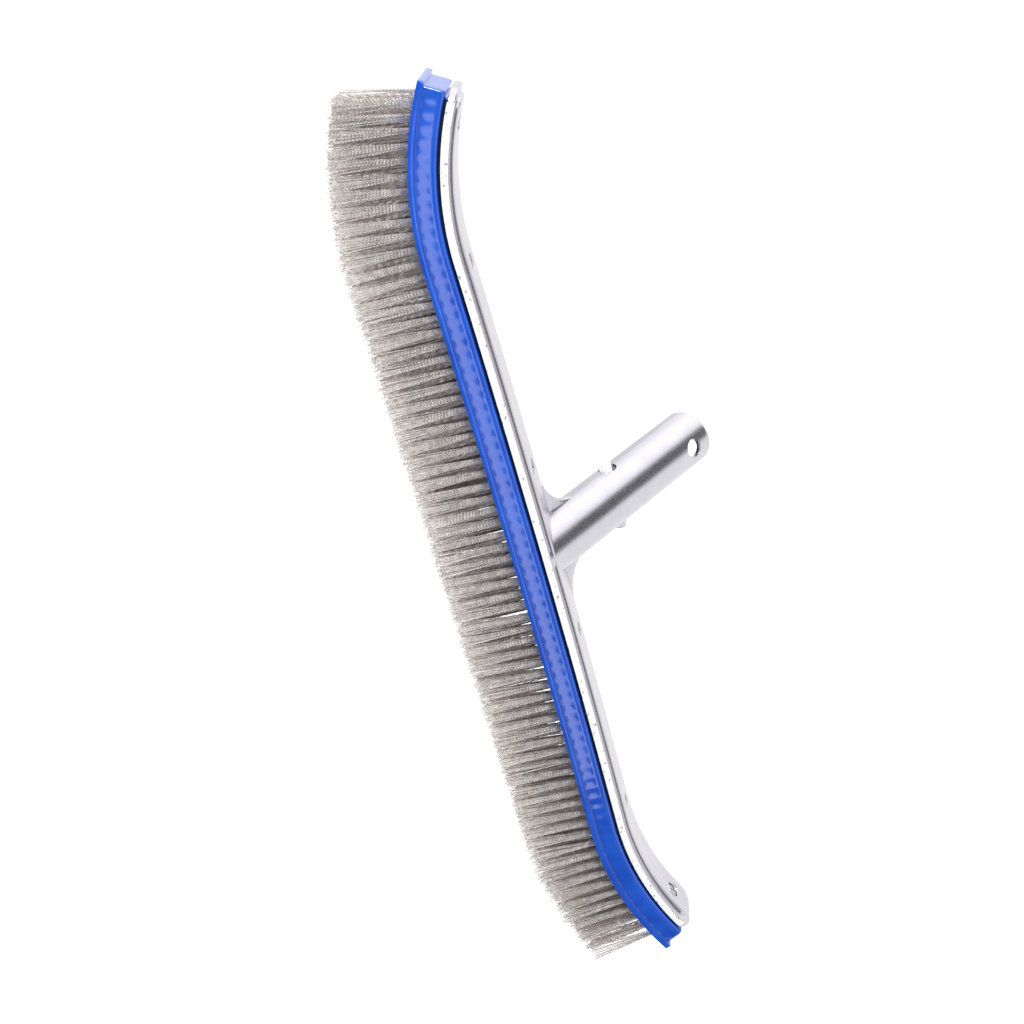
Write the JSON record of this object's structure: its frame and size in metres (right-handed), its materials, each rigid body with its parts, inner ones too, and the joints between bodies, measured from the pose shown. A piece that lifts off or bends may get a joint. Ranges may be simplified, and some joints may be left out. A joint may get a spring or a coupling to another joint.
{
  "type": "pool wall brush",
  "caption": "Curved pool wall brush: cast aluminium back with leaning handle tube and snap clip, plastic block set with steel wire tufts.",
  "frame": {"origin": "middle of the plane of the bristle tips, under the centre of the brush", "axes": "+X along the brush, +Z from the bristle tips up to the cast back, and the handle tube leans back towards +Y"},
  "size_m": [0.4598, 0.1326, 0.1349],
  "materials": {
    "cast_aluminium": "polished die casting, with a rough as-cast skirt",
    "blue_plastic": "glossy injection moulding",
    "steel_bristle": "crimped stainless wire",
    "screw_steel": "zinc plated",
    "white_nylon": "natural white nylon"
  },
  "bodies": {
    "root": {"back_casting": "cast_aluminium", "bristle_block": "blue_plastic", "block_screw_1": "screw_steel", "block_screw_2": "screw_steel", "block_screw_3": "screw_steel", "block_screw_4": "screw_steel", "block_screw_5": "screw_steel", "block_screw_6": "screw_steel", "clip_bend": "white_nylon", "tuft_bank_01": "steel_bristle", "tuft_bank_02": "steel_bristle", "tuft_bank_03": "steel_bristle", "tuft_bank_04": "steel_bristle", "tuft_bank_05": "steel_bristle", "tuft_bank_06": "steel_bristle", "tuft_bank_07": "steel_bristle", "tuft_bank_08": "steel_bristle", "tuft_bank_09": "steel_bristle", "tuft_bank_10": "steel_bristle", "tuft_bank_11": "steel_bristle", "tuft_bank_12": "steel_bristle", "tuft_bank_13": "steel_bristle", "tuft_bank_14": "steel_bristle", "tuft_bank_15": "steel_bristle", "tuft_bank_16": "steel_bristle", "tuft_bank_17": "steel_bristle", "tuft_bank_18": "steel_bristle", "tuft_bank_19": "steel_bristle", "tuft_bank_20": "steel_bristle", "tuft_bank_21": "steel_bristle", "tuft_bank_22": "steel_bristle", "tuft_bank_23": "steel_bristle", "tuft_bank_24": "steel_bristle", "tuft_bank_25": "steel_bristle", "tuft_bank_26": "steel_bristle", "tuft_bank_27": "steel_bristle", "tuft_bank_28": "steel_bristle", "tuft_bank_29": "steel_bristle", "tuft_bank_30": "steel_bristle", "tuft_bank_31": "steel_bristle", "tuft_bank_32": "steel_bristle", "tuft_bank_33": "steel_bristle", "tuft_bank_34": "steel_bristle", "tuft_bank_35": "steel_bristle"},
    "left_arm": {"clip_arm_left": "white_nylon"},
    "right_arm": {"clip_arm_right": "white_nylon"}
  },
  "joints": [
    {"name": "left_button_press", "type": "hinge", "parent": "root", "child": "left_arm", "pos_m": [-0.0042, 0.03086, 0.06866], "axis": [0, 0.5835, -0.8121], "range_deg": [0, 8.7], "stiffness_Nm_per_rad": 1.6, "springref_deg": -2.86},
    {"name": "right_button_press", "type": "hinge", "parent": "root", "child": "right_arm", "pos_m": [0.0042, 0.03086, 0.06866], "axis": [0, -0.5835, 0.8121], "range_deg": [0, 8.7], "stiffness_Nm_per_rad": 1.6, "springref_deg": -2.86}
  ]
}
